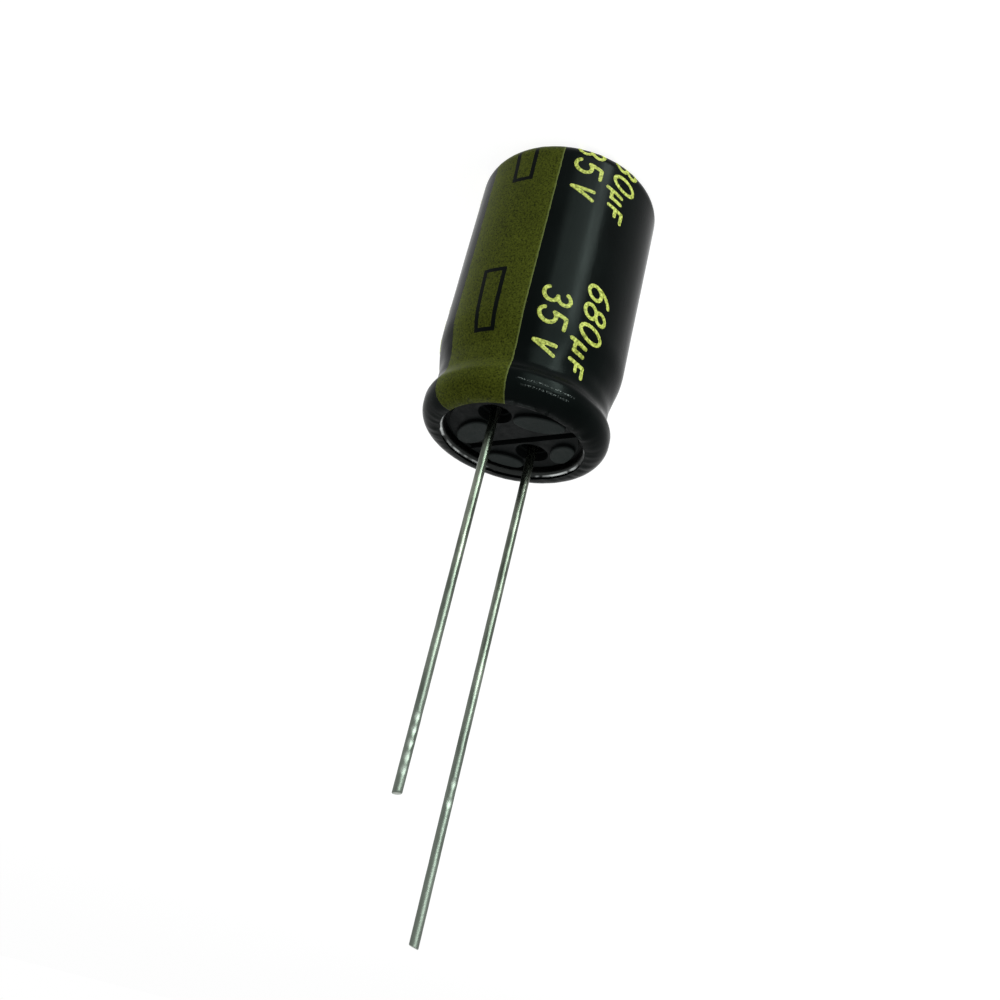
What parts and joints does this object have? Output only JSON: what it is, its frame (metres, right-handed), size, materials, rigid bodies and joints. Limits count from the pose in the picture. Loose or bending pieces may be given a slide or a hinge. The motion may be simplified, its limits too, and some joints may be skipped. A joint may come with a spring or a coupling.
{
  "type": "electrolytic capacitor",
  "caption": "Radial aluminium electrolytic capacitor: sleeved cylindrical can with a rolled bead, rubber seal end and long straight wire leads, the anode lead longer.",
  "frame": {"origin": "centre of the closed end, on the face the part stands on", "axes": "+Z along the can's axis from the closed end to the seal and the leads, +X from the cathode lead to the anode lead"},
  "size_m": [0.0128, 0.0128, 0.053],
  "materials": {
    "sleeve": "satin",
    "stripe_print": "satin",
    "rating_print": "satin",
    "aluminium": "satin",
    "rubber": "matte",
    "foil_paper": "matte",
    "tape": "satin",
    "tab_aluminium": "satin",
    "tinned_wire": "satin"
  },
  "bodies": {
    "root": {"insulating_sleeve": "sleeve", "aluminium_can": "aluminium", "rubber_bung": "rubber", "wound_element": "foil_paper", "winding_tape": "tape", "anode_tab": "tab_aluminium", "cathode_tab": "tab_aluminium", "anode_lead": "tinned_wire", "cathode_lead": "tinned_wire"}
  },
  "joints": []
}
